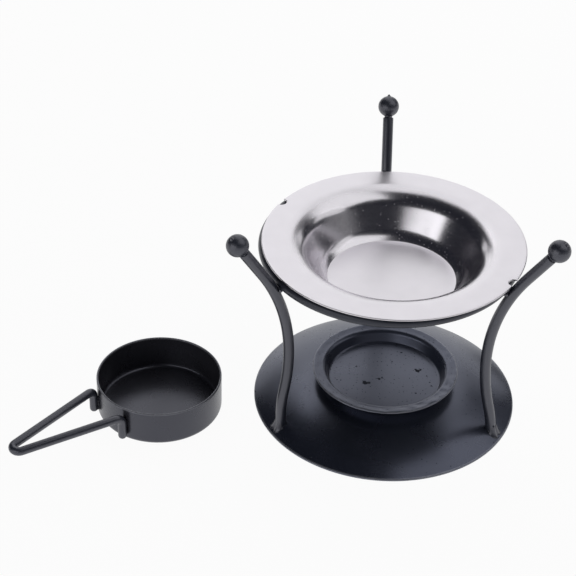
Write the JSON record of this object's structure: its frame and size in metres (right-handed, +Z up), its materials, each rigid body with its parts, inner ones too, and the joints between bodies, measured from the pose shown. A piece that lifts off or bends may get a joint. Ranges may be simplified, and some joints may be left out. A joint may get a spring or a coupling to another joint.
{
  "type": "wax melt burner",
  "caption": "Tealight wax melt burner: domed base with candle cup, bent rod legs with ball ends and a ring that carries a lift-out dish, with a small wire-handled pan.",
  "frame": {"origin": "on the table under the centre of the base plate", "axes": "+Z up; the pan stands on the -X side of the stand; -Y is the side that the picture is taken from"},
  "size_m": [0.2422, 0.1644, 0.118],
  "materials": {
    "black_coat": "satin black coating on steel",
    "coated_weld": "satin black coating over a rough weld",
    "pan_coat": "satin black coating on thin steel",
    "bare_steel": "bare steel, satin rim and floor with a bright drawn wall"
  },
  "bodies": {
    "stand": {"base_plate": "black_coat", "candle_cup": "black_coat", "leg_right": "black_coat", "leg_left": "black_coat", "leg_back": "black_coat", "ball_right": "black_coat", "ball_left": "black_coat", "ball_back": "black_coat", "support_ring": "black_coat", "foot_weld_right": "coated_weld", "foot_weld_left": "coated_weld", "foot_weld_back": "coated_weld", "ring_weld_right": "coated_weld", "ring_weld_left": "coated_weld", "ring_weld_back": "coated_weld", "neck_weld_right": "coated_weld", "neck_weld_left": "coated_weld", "neck_weld_back": "coated_weld"},
    "dish": {"dish": "bare_steel"},
    "pan": {"pan": "pan_coat", "pan_handle": "black_coat", "handle_weld_front": "coated_weld", "handle_weld_back": "coated_weld"}
  },
  "joints": [
    {"name": "dish_lift", "type": "slide", "parent": "stand", "child": "dish", "axis": [0, 0, 1], "range_m": [0, 0.06]},
    {"name": "pan_lift", "type": "slide", "parent": "stand", "child": "pan", "axis": [0, 0, 1], "range_m": [0, 0.1]}
  ]
}
